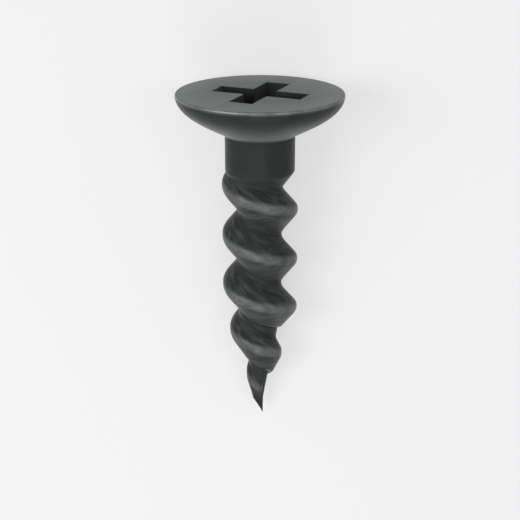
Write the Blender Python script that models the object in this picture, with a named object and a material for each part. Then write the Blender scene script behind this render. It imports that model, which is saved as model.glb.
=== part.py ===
"""A coarse-thread drywall screw, 3.5 x 16 mm, lying on its side as it comes to rest.

The screw is made standing on its axis, with its point below. Depths run down from height 0,
just under the face of its head, and angles run round the axis from the screw's right.
It is then laid down: the head points to +Y, and the rim of the head and one thread crest
touch the surface that it lies on.
"""

import math

import bmesh
import bpy
from mathutils import Vector
from mathutils.geometry import interpolate_bezier

MM = 0.001

# Head. Its flat face stands above height 0, and a bevel falls from it to the rim's widest
# place. From there its bowl leaves the rim and meets the neck at two slopes
HEAD_DIAMETER = 7.63 * MM
RIM_WIDTH = 0.05 * MM
FACE_DIAMETER = HEAD_DIAMETER - 2 * RIM_WIDTH
FACE_HEIGHT = 0.03 * MM
RIM_DEPTH = 0.08 * MM
HEAD_DEPTH = 1.8 * MM
RIM_PULL = 0.66 * MM
RIM_SLOPE = math.radians(4.0)
NECK_PULL = 1.36 * MM
NECK_SLOPE = math.radians(26.6)
NECK_FILLET = 0.08 * MM

# Cross recess, measured from the face
RECESS_SPAN = 4.27 * MM
RECESS_WING = 1.09 * MM
RECESS_DEPTH = 2.3 * MM
RECESS_SIDE_TAPER = math.radians(4.0)
RECESS_END_TAPER = math.radians(26.5)
RECESS_FLOOR_SLOPE = math.radians(30.0)
RECESS_TURN = math.radians(66.6)

# Neck and core
NECK_DIAMETER = 3.19 * MM
NECK_END = 3.54 * MM
NECK_CONE = 0.8 * MM
CORE_DIAMETER = 2.02 * MM

# Point, measured up from its tip. Its end is pinched off past its cone: it sways to the
# screw's left, where a share of the ridge sinks into it, and then leans back past the axis
LENGTH = 16.0 * MM
POINT_LENGTH = 5.48 * MM
PINCH_LENGTH = 0.85 * MM
PINCH_DIAMETER = 0.5 * MM
PINCH_DRAW = 0.12 * MM
PINCH_SWAY = 0.1 * MM
PINCH_LEAN = 0.13 * MM
SWAY_LENGTH = 0.55 * MM
RIDGE_SINK = 0.25

# Thread
THREAD_DIAMETER = 3.5 * MM
THREAD_PITCH = 2.43 * MM
CREST_WIDTH = 0.4 * MM
CREST_ROUND = 0.14 * MM
UPPER_FLANK = math.radians(41.1)
LOWER_FLANK = math.radians(39.3)
THREAD_START = 3.2 * MM
RUN_IN = 0.6 * MM
THREAD_STOP = 1.2 * MM
RUN_OUT = 0.2 * MM

# Depth at which the crest passes the screw's right
CREST_AT_RIGHT = 2.98 * MM

# +1 winds the thread as on a common right-hand screw, and -1 the other way
THREAD_HAND = -1

# The ridge's foot lies inside the core, this far from the axis and from the next turn's foot
FOOT_RADIUS = 0.35 * MM
FOOT_GAP = 0.15 * MM

# How far a cutter stands out of what it cuts
OVERCUT = 0.5 * MM

# Faces round the axis, thread sections in one turn, and faces along a curve
SIDES = 48
SECTIONS_PER_TURN = 36
BOWL_STEPS = 10
CORNER_STEPS = 3

# The angle of the screw's side that lies undermost
UNDERMOST = math.pi / 2
TURN = 2 * math.pi


def remove_scene_objects():
    for old in list(bpy.data.objects):
        bpy.data.objects.remove(old, do_unlink=True)


def make_object(name, bm):
    """A scene object from a closed bmesh, in flat triangles that face out.

    The mesh is held in millimetres under an object scaled to metres, because the tolerances
    of Blender's solvers are too coarse for faces this small.
    """
    bmesh.ops.scale(bm, vec=(1 / MM, 1 / MM, 1 / MM), verts=bm.verts)
    bmesh.ops.recalc_face_normals(bm, faces=bm.faces)
    bmesh.ops.triangulate(bm, faces=bm.faces)
    mesh = bpy.data.meshes.new(name)
    bm.to_mesh(mesh)
    bm.free()
    made = bpy.data.objects.new(name, mesh)
    bpy.context.collection.objects.link(made)
    return made


def around(angle):
    """The direction out from the axis at an angle."""
    return Vector((math.cos(angle), math.sin(angle), 0.0))


def down(depth):
    return Vector((0.0, 0.0, -depth))


def point_share(depth):
    """Size of the shank's section: 1 above the point, falling to 0 just short of its tip."""
    return min(1.0, (LENGTH - PINCH_DRAW - depth) / (POINT_LENGTH - PINCH_DRAW))


def sway_share(depth):
    """Share of the point's sway, which grows from 0 to 1 just above the pinch."""
    return max(0.0, min(1.0, 1 + (depth + PINCH_LENGTH - LENGTH) / SWAY_LENGTH))


def pinch_shift(depth):
    """How far the forming dies leave the point off the axis, toward the screw's right."""
    pinch_share = max(0.0, 1 + (depth - LENGTH) / PINCH_LENGTH)
    return (PINCH_SWAY + PINCH_LEAN) * pinch_share - PINCH_SWAY * sway_share(depth)


def pinch_point(bm):
    for vert in bm.verts:
        vert.co.x += pinch_shift(-vert.co.z)


def rounded_corner(corner, before, after, radius):
    """Points along the arc that replaces the corner between two straight edges."""
    corner = Vector(corner)
    back = (Vector(before) - corner).normalized()
    ahead = (Vector(after) - corner).normalized()
    half = back.angle(ahead) / 2
    centre = corner + (back + ahead).normalized() * radius / math.sin(half)
    first = (corner + back * radius / math.tan(half) - centre).normalized()
    last = (corner + ahead * radius / math.tan(half) - centre).normalized()
    points = []
    for step in range(CORNER_STEPS + 1):
        place = centre + first.slerp(last, step / CORNER_STEPS) * radius
        points.append((place.x, place.y))
    return points


def head_bowl():
    """Radius and depth along the head's underside, from its rim to the neck's fillet."""
    rim = Vector((HEAD_DIAMETER / 2, RIM_DEPTH))
    neck = Vector((NECK_DIAMETER / 2 + NECK_FILLET, HEAD_DEPTH))
    rim_handle = rim + Vector((-math.sin(RIM_SLOPE), math.cos(RIM_SLOPE))) * RIM_PULL
    neck_handle = neck + Vector((math.cos(NECK_SLOPE), -math.sin(NECK_SLOPE))) * NECK_PULL
    bowl = interpolate_bezier(rim, rim_handle, neck_handle, neck, BOWL_STEPS + 1)
    return [(point.x, point.y) for point in bowl]


def turned_outline():
    """Radius and depth of the turned body, from the middle of its face to the tip."""
    neck = NECK_DIAMETER / 2
    core = CORE_DIAMETER / 2
    pinch_start = LENGTH - PINCH_LENGTH
    sway_start = pinch_start - SWAY_LENGTH
    outline = [(0.0, -FACE_HEIGHT), (FACE_DIAMETER / 2, -FACE_HEIGHT)]
    outline += head_bowl()
    outline.append((neck, HEAD_DEPTH + NECK_FILLET))
    outline.append((neck, NECK_END))
    outline.append((core, NECK_END + NECK_CONE))
    outline.append((core, LENGTH - POINT_LENGTH))
    outline.append((core * point_share(sway_start), sway_start))
    outline.append((PINCH_DIAMETER / 2, pinch_start))
    outline.append((0.0, LENGTH))
    return outline


def turned_body():
    """Head, neck, core and point in one turning, with a flat of the rim undermost."""
    outward = around(UNDERMOST + math.pi / SIDES)
    bm = bmesh.new()
    verts = [bm.verts.new(outward * radius + down(depth)) for radius, depth in turned_outline()]
    edges = [bm.edges.new(pair) for pair in zip(verts, verts[1:])]
    bmesh.ops.spin(bm, geom=verts + edges, cent=(0, 0, 0), axis=(0, 0, 1), angle=TURN, steps=SIDES)
    bmesh.ops.remove_doubles(bm, verts=bm.verts, dist=0.0001 * MM)
    pinch_point(bm)
    return make_object("screw", bm)


def thread_section():
    """The ridge's outline above the point: distance below its crest, and radius."""
    crest = THREAD_DIAMETER / 2
    half_crest = CREST_WIDTH / 2
    reach = (THREAD_PITCH - FOOT_GAP) / 2
    upper_foot = (-reach, crest - (reach - half_crest) * math.tan(UPPER_FLANK))
    lower_foot = (reach, crest - (reach - half_crest) * math.tan(LOWER_FLANK))
    upper_crest = (-half_crest, crest)
    lower_crest = (half_crest, crest)
    section = [(-reach, FOOT_RADIUS), upper_foot]
    section += rounded_corner(upper_crest, upper_foot, lower_crest, CREST_ROUND)
    section += rounded_corner(lower_crest, upper_crest, lower_foot, CREST_ROUND)
    section += [lower_foot, (reach, FOOT_RADIUS)]
    return section


def thread_height(depth):
    """Share of the ridge's height: it rises out of the neck and ends short of the tip."""
    run_in = (depth - THREAD_START) / RUN_IN
    run_out = (LENGTH - THREAD_STOP - depth) / RUN_OUT
    return max(0.0, min(1.0, run_in, run_out))


def thread_ridge():
    """The thread as one swept ridge, whose section shrinks along the point."""
    section = thread_section()
    lowest_flank = section[1][1]
    step = THREAD_PITCH / SECTIONS_PER_TURN
    first = math.ceil((THREAD_START - CREST_AT_RIGHT) / step)
    last = math.floor((LENGTH - THREAD_STOP - CREST_AT_RIGHT) / step)
    bm = bmesh.new()
    loops = []
    for index in range(first, last + 1):
        depth = CREST_AT_RIGHT + index * step
        outward = around(-THREAD_HAND * TURN * index / SECTIONS_PER_TURN) * point_share(depth)
        height = thread_height(depth)
        loop = []
        for below, radius in section:
            place_depth = min(depth + below, LENGTH - PINCH_LENGTH)
            radius -= max(0.0, radius - lowest_flank) * (1 - height)
            radius *= 1 - RIDGE_SINK * sway_share(place_depth)
            loop.append(bm.verts.new(outward * radius + down(place_depth)))
        loops.append(loop)
    for one, other in zip(loops, loops[1:]):
        for corner in range(len(one)):
            after = (corner + 1) % len(one)
            bm.faces.new((one[corner], one[after], other[after], other[corner]))
    bm.faces.new(loops[0])
    bm.faces.new(loops[-1])
    pinch_point(bm)
    return make_object("thread_ridge", bm)


def recess_corner(bm, wing, side, depth, reach=None):
    """A corner of one recess wing, or the root that it shares with the next wing.

    Depths in the recess run down from the face.
    """
    half = RECESS_WING / 2 - depth * math.tan(RECESS_SIDE_TAPER)
    along = around(RECESS_TURN + TURN * wing / 4)
    across = around(RECESS_TURN + TURN * (wing + 1) / 4)
    distance = half if reach is None else reach
    return bm.verts.new(along * distance + across * half * side + down(depth - FACE_HEIGHT))


def recess_cutter():
    """Cutter for the cross recess: four tapered wings that meet in a pointed floor."""
    narrowing = math.tan(RECESS_SIDE_TAPER)
    inward = math.tan(RECESS_END_TAPER)
    floor = math.tan(RECESS_FLOOR_SLOPE)
    wing_depth = (RECESS_DEPTH - RECESS_SPAN / 2 * floor) / (1 - inward * floor)
    root_depth = (RECESS_DEPTH - RECESS_WING / 2 * floor) / (1 - narrowing * floor)
    top_reach = RECESS_SPAN / 2 + OVERCUT * inward
    foot_reach = RECESS_SPAN / 2 - wing_depth * inward
    bm = bmesh.new()
    bottom = bm.verts.new(down(RECESS_DEPTH - FACE_HEIGHT))
    roots = []
    for wing in range(4):
        roots.append((recess_corner(bm, wing, 1, -OVERCUT), recess_corner(bm, wing, 1, root_depth)))
    lid = []
    for wing in range(4):
        root_before, root_after = roots[wing - 1], roots[wing]
        near_top = recess_corner(bm, wing, -1, -OVERCUT, top_reach)
        near_foot = recess_corner(bm, wing, -1, wing_depth, foot_reach)
        far_top = recess_corner(bm, wing, 1, -OVERCUT, top_reach)
        far_foot = recess_corner(bm, wing, 1, wing_depth, foot_reach)
        bm.faces.new((root_before[0], root_before[1], near_foot, near_top))
        bm.faces.new((near_top, near_foot, far_foot, far_top))
        bm.faces.new((far_top, far_foot, root_after[1], root_after[0]))
        bm.faces.new((bottom, root_after[1], far_foot, near_foot, root_before[1]))
        lid += [near_top, far_top, root_after[0]]
    bm.faces.new(lid)
    return make_object("recess_cutter", bm)


def apply_tool(body, tool, operation):
    """Join a tool's shape to the body or cut it away, and keep the tool as a hidden guide."""
    modifier = body.modifiers.new(tool.name, "BOOLEAN")
    modifier.operation = operation
    modifier.object = tool
    modifier.solver = "EXACT"
    tool.hide_render = True
    tool.display_type = "WIRE"
    tool.parent = body


def resting_tilt(points):
    """Angle of the axis when the rim of the head and a thread crest both touch down."""
    rim = max(points, key=lambda point: (round(point.y / MM, 4), -point.z))
    shank = [point for point in points if point.z < -NECK_END]
    return min(math.atan2(rim.y - point.y, rim.z - point.z) for point in shank)


def lay_down(screw):
    """Scale the standing screw to metres and turn it onto its side, over the origin."""
    screw.scale = (MM, MM, MM)
    bpy.context.view_layer.update()
    shape = screw.evaluated_get(bpy.context.evaluated_depsgraph_get())
    points = [vert.co * MM for vert in shape.data.vertices]
    screw.rotation_euler.x = resting_tilt(points) - math.pi / 2
    turned = [screw.rotation_euler.to_matrix() @ point for point in points]
    for axis in (0, 1):
        places = [point[axis] for point in turned]
        screw.location[axis] = -(min(places) + max(places)) / 2
    screw.location.z = -min(point.z for point in turned)


def black_phosphate():
    """Dark grey phosphate coat with a faint oily sheen."""
    coat = bpy.data.materials.new("black_phosphate")
    coat.use_nodes = True
    shader = coat.node_tree.nodes["Principled BSDF"]
    shader.inputs["Base Color"].default_value = (0.055, 0.058, 0.057, 1.0)
    shader.inputs["Metallic"].default_value = 0.6
    shader.inputs["Roughness"].default_value = 0.42
    return coat


def build():
    remove_scene_objects()
    screw = turned_body()
    apply_tool(screw, thread_ridge(), "UNION")
    apply_tool(screw, recess_cutter(), "DIFFERENCE")
    screw.data.materials.append(black_phosphate())
    screw.data.shade_smooth()
    screw.data.set_sharp_from_angle(angle=math.radians(30.0))
    lay_down(screw)


build()
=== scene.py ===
import math

import bmesh
import bpy
from mathutils import Euler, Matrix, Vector


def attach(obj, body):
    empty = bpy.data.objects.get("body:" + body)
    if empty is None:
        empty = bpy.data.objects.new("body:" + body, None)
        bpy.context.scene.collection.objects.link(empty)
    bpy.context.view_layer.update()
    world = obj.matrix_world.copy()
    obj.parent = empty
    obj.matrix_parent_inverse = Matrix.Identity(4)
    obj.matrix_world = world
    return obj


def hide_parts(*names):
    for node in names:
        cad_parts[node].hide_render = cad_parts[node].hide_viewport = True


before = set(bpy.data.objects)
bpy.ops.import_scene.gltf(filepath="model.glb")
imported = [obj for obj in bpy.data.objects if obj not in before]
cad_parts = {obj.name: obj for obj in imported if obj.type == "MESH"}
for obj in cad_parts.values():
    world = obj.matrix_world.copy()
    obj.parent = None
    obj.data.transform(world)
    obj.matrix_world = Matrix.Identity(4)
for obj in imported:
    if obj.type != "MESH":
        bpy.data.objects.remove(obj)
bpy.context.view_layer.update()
print("frame loaded")

# The screw is modelled upright in millimetres: its axis on Z, its point below and the face of
# its head just above 0. Depths are measured down from 0. Then it is laid on the floor as the
# CAD screw lies, in metres.

lying = {
    "millimetre": 0.001,
    "headCentre": Vector((0.0, 7.4672, 3.7497)),
    # laid over, with the axis still rising 11.2 degrees to the head
    "turn": Euler((math.radians(11.2151 - 90.0), 0.0, 0.0)),
    "smoothUnder": math.radians(32.0),
}

# how near two points count as one place, and how near a point counts as on a level
nearness = {
    "samePlace": 0.0005,
    "sameLevel": 0.001,
}


def clamped(value):
    return max(0.0, min(1.0, value))


def smoothLowest(one, other, blend):
    # the lower of two values, rounded off by up to the blend where they cross
    gap = max(0.0, 1 - abs(one - other) / (4 * blend))
    return min(one, other) - blend * gap * gap


def smoothHighest(one, other, blend):
    return -smoothLowest(-one, -other, blend)


def selectOnly(piece):
    bpy.ops.object.select_all(action="DESELECT")
    piece.select_set(True)
    bpy.context.view_layer.objects.active = piece


def applyModifiers(piece):
    selectOnly(piece)
    for modifier in list(piece.modifiers):
        bpy.ops.object.modifier_apply(modifier=modifier.name)


def layDown(piece):
    piece.scale = [lying["millimetre"]] * 3
    piece.rotation_euler = lying["turn"]
    piece.location = lying["headCentre"] * lying["millimetre"]
    selectOnly(piece)
    bpy.ops.object.transform_apply(location=True, rotation=True, scale=True)
    bpy.ops.object.shade_smooth_by_angle(angle=lying["smoothUnder"])
    even = piece.modifiers.new("even", "WEIGHTED_NORMAL")
    even.keep_sharp = True
    applyModifiers(piece)
    print("screw laid down")


view = {
    "lookAt": Vector((0.0, -0.337, 2.2023)),
    "distance": 54.05,
    "pastUpright": math.radians(9.765),
    "sensor": 36.0,
    "lens": 79.615,
    "nearest": 1.0,
}


def addCamera():
    # the camera stands a little past upright, toward the head
    lean = view["pastUpright"]
    place = view["lookAt"] + Vector((0.0, math.sin(lean), math.cos(lean))) * view["distance"]
    bpy.ops.object.camera_add(location=place * lying["millimetre"], rotation=(-lean, 0.0, 0.0))
    camera = bpy.context.object
    camera.data.sensor_width = view["sensor"]
    camera.data.lens = view["lens"]
    camera.data.clip_start = view["nearest"] * lying["millimetre"]
    bpy.context.scene.camera = camera
    print("camera placed")


# the turned body under the head: neck, cone, core and point
shank = {
    "neckRadius": 1.595,
    "neckFillet": 0.08,
    "neckEnd": 3.54,
    "neckCone": 0.8,
    "coreRadius": 1.01,
    "length": 16.0,
    "pointLength": 5.48,
    "pinchLength": 0.85,
    "pinchRadius": 0.25,
    "pinchDraw": 0.12,
    "pinchSway": 0.1,
    "pinchLean": 0.13,
    "swayLength": 0.55,
    "top": 2.4,
    "tipCut": 0.02,
    "tipRadius": 0.02,
}


def pointShare(depth):
    # size of the shank's section, which falls from 1 to 0 along the point
    draw = shank["pinchDraw"]
    return min(1.0, (shank["length"] - draw - depth) / (shank["pointLength"] - draw))


def swayShare(depth):
    # grows from 0 to 1 along the stretch just above the pinched end
    pinchStart = shank["length"] - shank["pinchLength"]
    return clamped(1 + (depth - pinchStart) / shank["swayLength"])


def pinchShift(depth):
    # the point sways to the left, and its pinched end leans over to the right
    share = max(0.0, 1 + (depth - shank["length"]) / shank["pinchLength"])
    return (shank["pinchSway"] + shank["pinchLean"]) * share - shank["pinchSway"] * swayShare(depth)


def turnedRadius(depth):
    # neck, cone, core and point, without the thread
    neckEnd, cone = shank["neckEnd"], shank["neckCone"]
    pinchStart = shank["length"] - shank["pinchLength"]
    if depth < neckEnd + cone:
        share = max(0.0, (depth - neckEnd) / cone)
        return shank["neckRadius"] + (shank["coreRadius"] - shank["neckRadius"]) * share
    if depth < pinchStart:
        swayStart = pinchStart - shank["swayLength"]
        full = shank["coreRadius"] * pointShare(min(depth, swayStart))
        return full + (shank["pinchRadius"] - full) * swayShare(depth)
    share = (shank["length"] - depth) / shank["pinchLength"]
    return max(shank["tipRadius"], shank["pinchRadius"] * share)


thread = {
    # -1 winds it left-handed, and 1 right-handed
    "hand": -1,
    "radius": 1.75,
    "pitch": 2.43,
    "crestWidth": 0.4,
    "crestRound": 0.035,
    "upperFlank": math.radians(41.1),
    "lowerFlank": math.radians(39.3),
    "reach": 1.14,
    "crestAtRight": 2.98,
    # the ridge rises from this depth, and ends at this height above the tip
    "start": 3.2,
    "runIn": 0.6,
    "stop": 1.2,
    "runOut": 0.2,
    "rootRound": 0.035,
    "leastRound": 0.002,
    # how much lower the ridge is on the pinched end, and how soon before the tip it sinks in
    "pinchedBy": 0.25,
    "sinkLength": 0.5,
    "stepsAcross": 48,
    "stepsRound": 96,
    "spareTurns": 2,
}


def threadRadius(below):
    # the ridge across its crest: two flanks, and a flat crest with rounded corners
    slope = math.tan(thread["upperFlank"] if below < 0 else thread["lowerFlank"])
    flank = thread["radius"] - (abs(below) - thread["crestWidth"] / 2) * slope
    return smoothLowest(thread["radius"], flank, thread["crestRound"])


def crestDepthNear(angle, depth):
    # depth of the crest nearest to a place on the shank
    pitch = thread["pitch"]
    wound = thread["crestAtRight"] - thread["hand"] * angle / (2 * math.pi) * pitch
    return wound + round((depth - wound) / pitch) * pitch


def ridgeRadius(depth, crestDepth):
    # the thread's surface at a depth, rising out of the neck and ending short of the tip
    runIn = (crestDepth - thread["start"]) / thread["runIn"]
    runOut = (shank["length"] - thread["stop"] - crestDepth) / thread["runOut"]
    height = clamped(min(runIn, runOut))
    if height == 0 or abs(depth - crestDepth) > thread["reach"]:
        return 0.0
    foot = threadRadius(-thread["reach"])
    ridge = foot + (threadRadius(depth - crestDepth) - foot) * height
    return ridge * pointShare(crestDepth) * (1 - thread["pinchedBy"] * swayShare(depth))


def shankRadius(angle, depth):
    # the turned shank and the thread that winds round it, with a small fillet at its root
    turned = turnedRadius(depth)
    ridge = ridgeRadius(depth, crestDepthNear(angle, depth))
    ridge = turned + (ridge - turned) * min(1.0, (shank["length"] - depth) / thread["sinkLength"])
    return smoothHighest(turned, ridge, thread["rootRound"] * pointShare(depth) + thread["leastRound"])


def startPoint(name, place):
    # a single vertex, ready in edit mode for a profile to be extruded from it
    bpy.ops.object.select_all(action="DESELECT")
    bpy.ops.mesh.primitive_plane_add(size=1.0)
    bpy.context.object.name = name
    bpy.ops.object.mode_set(mode="EDIT")
    bpy.ops.mesh.select_all(action="SELECT")
    bpy.ops.mesh.merge(type="CENTER")
    bpy.ops.transform.translate(value=place)
    return bpy.context.object


def windShank():
    # one pitch of plain profile, wound round by the Screw modifier into a tube whose rows of
    # faces follow the thread
    pitch, across = thread["pitch"], thread["stepsAcross"]
    start = -shank["top"] + pitch if thread["hand"] < 0 else -shank["length"]
    piece = startPoint("drywallScrew", (shank["coreRadius"], 0.0, start))
    for step in range(across):
        bpy.ops.mesh.extrude_region_move(TRANSFORM_OT_translate={"value": (0.0, 0.0, -pitch / across)})
    bpy.ops.object.mode_set(mode="OBJECT")
    winding = piece.modifiers.new("winding", "SCREW")
    winding.axis = "Z"
    winding.angle = 2 * math.pi
    winding.screw_offset = pitch * thread["hand"]
    winding.iterations = math.ceil((shank["length"] - shank["top"]) / pitch) + thread["spareTurns"]
    winding.steps = winding.render_steps = thread["stepsRound"]
    applyModifiers(piece)
    return piece


def shapeShank(piece):
    # the wound tube is cut level at both ends and drawn in or out to the shank's surface
    bpy.ops.object.mode_set(mode="EDIT")
    bpy.ops.mesh.select_all(action="SELECT")
    bpy.ops.mesh.remove_doubles(threshold=nearness["samePlace"])
    bpy.ops.mesh.bisect(plane_co=(0, 0, -shank["top"]), plane_no=(0, 0, 1), clear_outer=True)
    bpy.ops.mesh.select_all(action="SELECT")
    bpy.ops.mesh.bisect(plane_co=(0, 0, shank["tipCut"] - shank["length"]), plane_no=(0, 0, -1),
                        clear_outer=True)
    bpy.ops.object.mode_set(mode="OBJECT")
    for vertex in piece.data.vertices:
        angle, depth = math.atan2(vertex.co.y, vertex.co.x), -vertex.co.z
        radius = shankRadius(angle, depth)
        vertex.co = (radius * math.cos(angle) + pinchShift(depth), radius * math.sin(angle), -depth)
    print("shank wound:", len(piece.data.polygons), "faces")


head = {
    "radius": 3.8,
    "depth": 1.8,
    "rimDepth": 0.08,
    "faceRadius": 3.75,
    "faceHeight": 0.03,
    # the bowl's curve: how far and how steeply it leaves the rim and the neck
    "rimPull": 0.66,
    "rimSlope": math.radians(4.0),
    "neckPull": 1.36,
    "neckSlope": math.radians(26.6),
    "bowlSteps": 22,
    "rimSteps": 4,
}


def headProfile():
    # radius and height, from the neck's top up the bowl, round the rim and onto the flat
    neck, fillet = shank["neckRadius"], shank["neckFillet"]
    neckSlope, rimSlope = head["neckSlope"], head["rimSlope"]
    low = Vector((neck + fillet, -head["depth"]))
    high = Vector((head["radius"], -head["rimDepth"]))
    lowHandle = low + Vector((math.cos(neckSlope), math.sin(neckSlope))) * head["neckPull"]
    highHandle = high - Vector((math.sin(rimSlope), math.cos(rimSlope))) * head["rimPull"]
    points = [(neck, -head["depth"] - fillet)]
    for step in range(head["bowlSteps"] + 1):
        t = step / head["bowlSteps"]
        place = (low * (1 - t) ** 3 + lowHandle * 3 * t * (1 - t) ** 2
                 + highHandle * 3 * t * t * (1 - t) + high * t ** 3)
        points.append((place.x, place.y))
    # the rim's bevel, a little rounded
    wide, tall = head["radius"] - head["faceRadius"], head["rimDepth"] + head["faceHeight"]
    for step in range(1, head["rimSteps"] + 1):
        turn = math.radians(90.0) * step / head["rimSteps"]
        points.append((head["faceRadius"] + wide * math.cos(turn), tall * math.sin(turn) - head["rimDepth"]))
    return points


def selectOpenLoop(piece, height):
    mesh = bmesh.from_edit_mesh(piece.data)
    bpy.ops.mesh.select_all(action="DESELECT")
    for edge in mesh.edges:
        level = all(abs(end.co.z - height) < nearness["sameLevel"] for end in edge.verts)
        if edge.is_boundary and level:
            edge.select = True
    bmesh.update_edit_mesh(piece.data)


def raiseHead(piece):
    # the neck's open edge is drawn up and out into the head, one ring at a time
    bpy.ops.object.mode_set(mode="EDIT")
    selectOpenLoop(piece, shank["tipCut"] - shank["length"])
    bpy.ops.mesh.edge_face_add()
    selectOpenLoop(piece, -shank["top"])
    radius, height = shank["neckRadius"], -shank["top"]
    for newRadius, newHeight in headProfile():
        bpy.ops.mesh.extrude_region_move(TRANSFORM_OT_translate={"value": (0.0, 0.0, newHeight - height)})
        grow = newRadius / radius
        bpy.ops.transform.resize(value=(grow, grow, 1.0), center_override=(0.0, 0.0, newHeight))
        radius, height = newRadius, newHeight
    bpy.ops.mesh.edge_face_add()
    bpy.ops.mesh.select_all(action="SELECT")
    bpy.ops.mesh.normals_make_consistent(inside=False)
    bpy.ops.object.mode_set(mode="OBJECT")
    print("head raised:", len(piece.data.polygons), "faces")


recess = {
    "span": 4.27,
    "wing": 1.09,
    "depth": 2.3,
    "sideTaper": math.radians(4.0),
    "endTaper": math.radians(26.5),
    "floorSlope": math.radians(30.0),
    "floorMiddle": 0.02,
    "turn": math.radians(66.6),
    # how far the cutter stands above the face
    "above": 0.5,
    # the edges at the face that are broken: their bevel, how sharp they are and where they lie
    "edge": 0.035,
    "edgeSharpness": math.radians(20.0),
    "edgesWithin": 2.5,
}


def recessArm(turn):
    # one tapered bar of the cross, with a floor that falls to its middle
    narrowing, inward = math.tan(recess["sideTaper"]), math.tan(recess["endTaper"])
    fall = math.tan(recess["floorSlope"])
    footDepth = (recess["depth"] - recess["span"] / 2 * fall) / (1 - inward * fall)
    level = recess["above"]
    length = recess["span"] + 2 * level * inward
    width = recess["wing"] + 2 * level * narrowing
    bpy.ops.object.select_all(action="DESELECT")
    bpy.ops.mesh.primitive_plane_add(size=1.0, location=(0.0, 0.0, head["faceHeight"] + level))
    bar = bpy.context.object
    bpy.ops.object.mode_set(mode="EDIT")
    bpy.ops.transform.resize(value=(length, width, 1.0))
    footLength = recess["span"] - 2 * footDepth * inward
    for depth, newLength in ((footDepth, footLength), (recess["depth"], recess["floorMiddle"])):
        newWidth = recess["wing"] - 2 * depth * narrowing
        bpy.ops.mesh.extrude_region_move(TRANSFORM_OT_translate={"value": (0.0, 0.0, -depth - level)})
        bpy.ops.transform.resize(value=(newLength / length, newWidth / width, 1.0))
        length, width, level = newLength, newWidth, -depth
    bpy.ops.mesh.select_all(action="SELECT")
    bpy.ops.mesh.normals_make_consistent(inside=False)
    bpy.ops.object.mode_set(mode="OBJECT")
    bar.rotation_euler.z = turn
    return bar


def combine(piece, tool, operation):
    step = piece.modifiers.new("combine", "BOOLEAN")
    step.operation = operation
    step.object = tool
    applyModifiers(piece)
    bpy.data.objects.remove(tool, do_unlink=True)


def sinkRecess(piece):
    cross = recessArm(recess["turn"])
    combine(cross, recessArm(recess["turn"] + math.radians(90.0)), "UNION")
    combine(piece, cross, "DIFFERENCE")
    print("recess sunk:", len(piece.data.polygons), "faces")


def breakRecessEdges(piece):
    bpy.ops.object.mode_set(mode="EDIT")
    bpy.ops.mesh.select_all(action="DESELECT")
    bpy.ops.mesh.select_mode(type="EDGE")
    mesh = bmesh.from_edit_mesh(piece.data)
    for edge in mesh.edges:
        ends = [end.co for end in edge.verts]
        atFace = all(abs(place.z - head["faceHeight"]) < nearness["sameLevel"] for place in ends)
        inside = all(place.to_2d().length < recess["edgesWithin"] for place in ends)
        if atFace and inside and edge.calc_face_angle(0.0) > recess["edgeSharpness"]:
            edge.select = True
    bmesh.update_edit_mesh(piece.data)
    bpy.ops.mesh.bevel(offset=recess["edge"], segments=2)
    bpy.ops.object.mode_set(mode="OBJECT")
    print("recess edges broken:", len(piece.data.polygons), "faces")


# worn metal on the rim and the crest: partly edge wear, partly a painted highlight along the rim's bevel and
# painted glints on the crest
wearAndHighlight = {
    "rimReach": 0.085,
    # where the wear and its painted highlight on the rim are strongest, as a share of the rim's depth
    "rimMiddle": 0.35,
    # the crest's wear and painted glint are weaker than the rim's, and their reach shrinks towards the tip
    # to a least share
    "crestReach": 0.09,
    "crestShare": 0.35,
    "leastCrest": 0.1,
    # the flank is scuffed and lightened with painted light in full from this height above the core
    "flankFoot": 0.3,
}


def markSurface(piece):
    # the finish follows these: a place's way from the crest and from the axis, how worn it is, which also
    # sets its painted highlight, and how far it is up the thread's flank, which sets its scuffs and painted
    # light
    piece.data.attributes.new("rolled", "FLOAT_VECTOR", "POINT")
    piece.data.attributes.new("wornAndHighlit", "FLOAT", "POINT")
    piece.data.attributes.new("flank", "FLOAT", "POINT")
    rolled, wornAndHighlit, flank = [piece.data.attributes[name].data for name in ("rolled", "wornAndHighlit", "flank")]
    rimMiddle = head["rimDepth"] * wearAndHighlight["rimMiddle"]
    for index, vertex in enumerate(piece.data.vertices):
        depth = -vertex.co.z
        across = vertex.co.x - pinchShift(depth)
        angle, radius = math.atan2(vertex.co.y, across), math.hypot(across, vertex.co.y)
        crestDepth = crestDepthNear(angle, depth)
        threaded = clamped((depth - thread["start"]) / thread["runIn"])
        rolled[index].vector = (abs(depth - crestDepth), radius, threaded)
        # wear on the crest and the rim, which also paints a highlight there
        if threaded > 0:
            share = max(wearAndHighlight["leastCrest"], pointShare(crestDepth))
            fromCrest = abs(thread["radius"] * share - radius)
            # how far up the flank a place is, which sets its scuffs and painted light
            proud = clamped((radius - turnedRadius(depth)) / wearAndHighlight["flankFoot"])
            wearWithHighlight = wearAndHighlight["crestShare"] * (1 - fromCrest / (wearAndHighlight["crestReach"] * share)) * proud
        else:
            fromRim = math.hypot(radius - head["radius"] + rimMiddle, depth - rimMiddle)
            proud = 0.0
            wearWithHighlight = 1 - fromRim / wearAndHighlight["rimReach"]
        wornAndHighlit[index].value = clamped(wearWithHighlight) * max(threaded, 1 - threaded)
        flank[index].value = threaded * proud
    print("finish marked on", len(piece.data.vertices), "points")


def addNode(tree, kind, **values):
    node = tree.nodes.new(kind)
    for name, value in values.items():
        setattr(node, name, value)
    return node


def feed(tree, socket, value):
    # a socket takes another node's output or a plain value
    if isinstance(value, bpy.types.NodeSocket):
        tree.links.new(value, socket)
    else:
        socket.default_value = value


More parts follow.
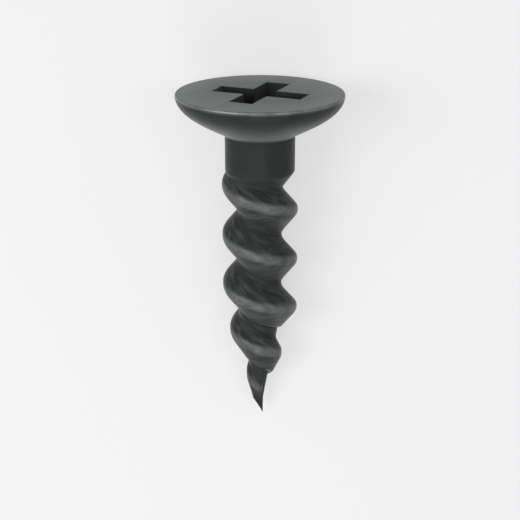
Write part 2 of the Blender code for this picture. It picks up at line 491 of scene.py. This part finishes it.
def mixColours(tree, factor, one, other):
    mix = addNode(tree, "ShaderNodeMix", data_type="RGBA")
    # the node's colours are its inputs 6 and 7 and its output 2
    feed(tree, mix.inputs[0], factor)
    feed(tree, mix.inputs[6], one)
    feed(tree, mix.inputs[7], other)
    return mix.outputs[2]


def combineValues(tree, operation, one, other):
    maths = addNode(tree, "ShaderNodeMath", operation=operation)
    feed(tree, maths.inputs[0], one)
    feed(tree, maths.inputs[1], other)
    return maths.outputs[0]


def spread(tree, value, old, new=(0.0, 1.0)):
    # a clamped change of range
    ranged = addNode(tree, "ShaderNodeMapRange")
    for index, part in enumerate((value, *old, *new)):
        feed(tree, ranged.inputs[index], part)
    return ranged.outputs[0]


def noise(tree, place, scale, detail, roughness):
    cloud = addNode(tree, "ShaderNodeTexNoise")
    feed(tree, cloud.inputs["Vector"], place)
    feed(tree, cloud.inputs["Scale"], scale)
    feed(tree, cloud.inputs["Detail"], detail)
    feed(tree, cloud.inputs["Roughness"], roughness)
    return cloud.outputs[0]


def alongRidge(tree, place, rolled, along, across):
    # a place for noise whose marks run round with the thread
    lengthways = addNode(tree, "ShaderNodeVectorMath", operation="MULTIPLY")
    feed(tree, lengthways.inputs[0], place)
    feed(tree, lengthways.inputs[1], along)
    sideways = addNode(tree, "ShaderNodeVectorMath", operation="MULTIPLY_ADD")
    feed(tree, sideways.inputs[0], rolled)
    feed(tree, sideways.inputs[1], across)
    feed(tree, sideways.inputs[2], lengthways.outputs[0])
    return sideways.outputs[0]


coating = {
    "dark": (0.0175, 0.0192, 0.0187, 1.0),
    "pale": (0.043, 0.0466, 0.0456, 1.0),
    # scuffed: the flanks' patch colour, partly scuffing and partly painted light
    "scuffedAndLit": (0.074, 0.078, 0.076, 1.0),
    # worn metal: partly edge wear, partly a painted highlight on the rim and the crest
    "wornMetalAndHighlight": (0.35, 0.359, 0.354, 1.0),
    "specular": 0.03,
    "sheen": 0.4,
    "sheenRoughness": 0.37,
    "sheenTint": (0.955, 1.0, 0.985, 1.0),
    # noises, on the upright screw in millimetres
    "clouds": {"scale": 1.3, "detail": 4.0, "roughness": 0.5},
    "crystals": {"scale": 17.0, "detail": 3.0, "roughness": 0.7},
    "streaks": {"scale": 1.0, "detail": 3.0, "roughness": 0.6},
    "scuffsAndLight": {"scale": 1.0, "detail": 5.0, "roughness": 0.65},
    # how closely the streaks and the scuffs with their painted light follow each other along the thread and
    # across it
    "streaksAlong": (1.1, 1.1, 1.1),
    "streaksAcross": (9.0, 7.0, 0.0),
    "scuffsAndLightAlong": (1.7, 1.7, 1.7),
    "scuffsAndLightAcross": (3.6, 2.8, 0.0),
    # the noises' useful ranges
    "noiseRange": (0.3, 0.7),
    "wornHighlitRange": (0.3, 0.6),
    "scuffAndLightRange": (0.44, 0.64),
    # what each noise adds to the shade, from dark to pale, to the wear with its painted highlight and to the
    # roughness
    "cloudShade": (0.0, 0.3),
    "streakShade": (0.0, 0.7),
    "crystalShade": (-0.1, 0.2),
    "cloudWearAndHighlight": (0.55, 1.0),
    "crystalWearAndHighlight": (0.6, 1.0),
    "cloudRoughness": (0.35, 0.45),
    "streakRoughness": (-0.06, 0.06),
    "wornHighlitRoughness": -0.08,
    # from the whole coat to the worn metal, which is also a painted highlight
    "metallic": (0.12, 0.75),
    # heights in metres
    "crystalHeight": 0.000002,
    "streakHeight": 0.000002,
}


def uprightPlace(tree):
    # places on the upright screw, in millimetres
    upright = addNode(tree, "ShaderNodeMapping", vector_type="TEXTURE")
    feed(tree, upright.inputs["Vector"], addNode(tree, "ShaderNodeTexCoord").outputs["Object"])
    feed(tree, upright.inputs["Location"], lying["headCentre"] * lying["millimetre"])
    feed(tree, upright.inputs["Rotation"], lying["turn"])
    feed(tree, upright.inputs["Scale"], [lying["millimetre"]] * 3)
    return upright.outputs[0]


def phosphateCoat():
    coat = bpy.data.materials.new("blackPhosphate")
    coat.use_nodes = True
    tree = coat.node_tree
    shader = tree.nodes["Principled BSDF"]
    place = uprightPlace(tree)
    usual = coating["noiseRange"]
    clouds = noise(tree, place, **coating["clouds"])
    crystals = noise(tree, place, **coating["crystals"])
    # rolling marks, long and thin, that run round with the thread and fade above it
    rolled = addNode(tree, "ShaderNodeAttribute", attribute_name="rolled").outputs["Vector"]
    apart = addNode(tree, "ShaderNodeSeparateXYZ")
    feed(tree, apart.inputs[0], rolled)
    streaks = alongRidge(tree, place, rolled, coating["streaksAlong"], coating["streaksAcross"])
    streaks = spread(tree, noise(tree, streaks, **coating["streaks"]), usual, (-1.0, 1.0))
    streaks = combineValues(tree, "MULTIPLY", streaks, apart.outputs[2])
    # the thread's flanks are scuffed in patches, lightened partly as scuffing and partly as painted light on
    # the flanks
    flank = addNode(tree, "ShaderNodeAttribute", attribute_name="flank").outputs["Fac"]
    scuffsAndLight = alongRidge(tree, place, rolled, coating["scuffsAndLightAlong"], coating["scuffsAndLightAcross"])
    scuffsAndLight = spread(tree, noise(tree, scuffsAndLight, **coating["scuffsAndLight"]), coating["scuffAndLightRange"])
    scuffsAndLight = combineValues(tree, "MULTIPLY", scuffsAndLight, flank)
    # the rim and the crest are worn in spots, and the worn metal also paints a highlight along the rim and
    # glints on the crest
    wornAndHighlit = addNode(tree, "ShaderNodeAttribute", attribute_name="wornAndHighlit").outputs["Fac"]
    wornHighlitRange = coating["wornHighlitRange"]
    wornAndHighlit = combineValues(tree, "MULTIPLY", wornAndHighlit, spread(tree, clouds, wornHighlitRange, coating["cloudWearAndHighlight"]))
    wornAndHighlit = combineValues(tree, "MULTIPLY", wornAndHighlit, spread(tree, crystals, wornHighlitRange, coating["crystalWearAndHighlight"]))

    shade = combineValues(tree, "ADD", spread(tree, clouds, usual, coating["cloudShade"]),
                          spread(tree, streaks, (-1.0, 1.0), coating["streakShade"]))
    shade = combineValues(tree, "ADD", shade, spread(tree, crystals, usual, coating["crystalShade"]))
    colour = mixColours(tree, shade, coating["dark"], coating["pale"])
    # painted light on the flanks, mixed in as scuffs
    colour = mixColours(tree, scuffsAndLight, colour, coating["scuffedAndLit"])
    # painted highlight on the rim and the crest, mixed in as worn metal
    colour = mixColours(tree, wornAndHighlit, colour, coating["wornMetalAndHighlight"])
    feed(tree, shader.inputs["Base Color"], colour)

    roughness = combineValues(tree, "ADD", spread(tree, clouds, usual, coating["cloudRoughness"]),
                              spread(tree, streaks, (-1.0, 1.0), coating["streakRoughness"]))
    polish = combineValues(tree, "MULTIPLY", wornAndHighlit, coating["wornHighlitRoughness"])
    feed(tree, shader.inputs["Roughness"], combineValues(tree, "ADD", roughness, polish))
    feed(tree, shader.inputs["Metallic"], spread(tree, wornAndHighlit, (0.0, 1.0), coating["metallic"]))

    height = combineValues(tree, "ADD", combineValues(tree, "MULTIPLY", crystals, coating["crystalHeight"]),
                           combineValues(tree, "MULTIPLY", streaks, coating["streakHeight"]))
    bump = addNode(tree, "ShaderNodeBump")
    feed(tree, bump.inputs["Distance"], 1.0)
    feed(tree, bump.inputs["Height"], height)
    feed(tree, shader.inputs["Normal"], bump.outputs[0])
    shader.inputs["Specular IOR Level"].default_value = coating["specular"]
    shader.inputs["Sheen Weight"].default_value = coating["sheen"]
    shader.inputs["Sheen Roughness"].default_value = coating["sheenRoughness"]
    shader.inputs["Sheen Tint"].default_value = coating["sheenTint"]
    print("phosphate coat made")
    return coat


def grey(value):
    return (value, value, value, 1.0)


def backgroundSeen(tree):
    # 1 where the camera, a reflection or glass looks at the pale surroundings
    path = addNode(tree, "ShaderNodeLightPath")
    seen = combineValues(tree, "MAXIMUM", path.outputs["Is Camera Ray"], path.outputs["Is Glossy Ray"])
    return combineValues(tree, "MAXIMUM", seen, path.outputs["Is Transmission Ray"])


floorLook = {
    "size": 2.0,
    "inView": 0.335,
    "elsewhere": 0.17,
    "glowInView": 0.55,
    "roughness": 0.9,
}


def addFloor():
    bpy.ops.object.select_all(action="DESELECT")
    bpy.ops.mesh.primitive_plane_add(size=floorLook["size"])
    floor = bpy.context.object
    floor.name = "floor"
    pale = bpy.data.materials.new("paleFloor")
    pale.use_nodes = True
    tree = pale.node_tree
    shader = tree.nodes["Principled BSDF"]
    shader.inputs["Roughness"].default_value = floorLook["roughness"]
    shader.inputs["Specular IOR Level"].default_value = 0.0
    shader.inputs["Emission Color"].default_value = grey(1.0)
    seen = backgroundSeen(tree)
    colour = mixColours(tree, seen, grey(floorLook["elsewhere"]), grey(floorLook["inView"]))
    feed(tree, shader.inputs["Base Color"], colour)
    glow = combineValues(tree, "MULTIPLY", seen, floorLook["glowInView"])
    feed(tree, shader.inputs["Emission Strength"], glow)
    floor.data.materials.append(pale)
    print("floor laid")


studio = {
    "ambient": 0.42,
    "aim": Vector((0.0, 0.002, 0.003)),
    # name: place and size in metres, and power
    "lamps": {
        "keyLight": (Vector((-0.0565, 0.004, 0.085)), 0.045, 0.038),
        "leftLight": (Vector((-0.0883, 0.002, 0.05)), 0.045, 0.009),
        "rightLight": (Vector((0.0574, 0.002, 0.085)), 0.045, 0.0125),
        "topLight": (Vector((0.0, -0.048, 0.09)), 0.045, 0.0145),
        "tipLight": (Vector((0.0, -0.085, 0.055)), 0.06, 0.014),
    },
}


def addSky():
    # a soft even light, seen as pale as the far floor
    world = bpy.data.worlds.new("studio")
    world.use_nodes = True
    tree = world.node_tree
    farFloor = floorLook["glowInView"] + floorLook["inView"] * studio["ambient"]
    sky = mixColours(tree, backgroundSeen(tree), grey(studio["ambient"]), grey(farFloor))
    feed(tree, tree.nodes["Background"].inputs["Color"], sky)
    bpy.context.scene.world = world


def addLamps():
    for name, (place, size, power) in studio["lamps"].items():
        bpy.ops.object.light_add(type="AREA", location=place)
        lamp = bpy.context.object
        lamp.name = name
        lamp.data.size = size
        lamp.data.energy = power
        lamp.rotation_euler = (studio["aim"] - place).to_track_quat("-Z", "Y").to_euler()
    print("sky and", len(studio["lamps"]), "lamps set")


addCamera()
screw = windShank()
shapeShank(screw)
raiseHead(screw)
sinkRecess(screw)
breakRecessEdges(screw)
markSurface(screw)
layDown(screw)
screw.data.materials.append(phosphateCoat())
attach(screw, "root")
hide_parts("screw")
addFloor()
addSky()
addLamps()
bpy.context.scene.view_settings.view_transform = "Standard"
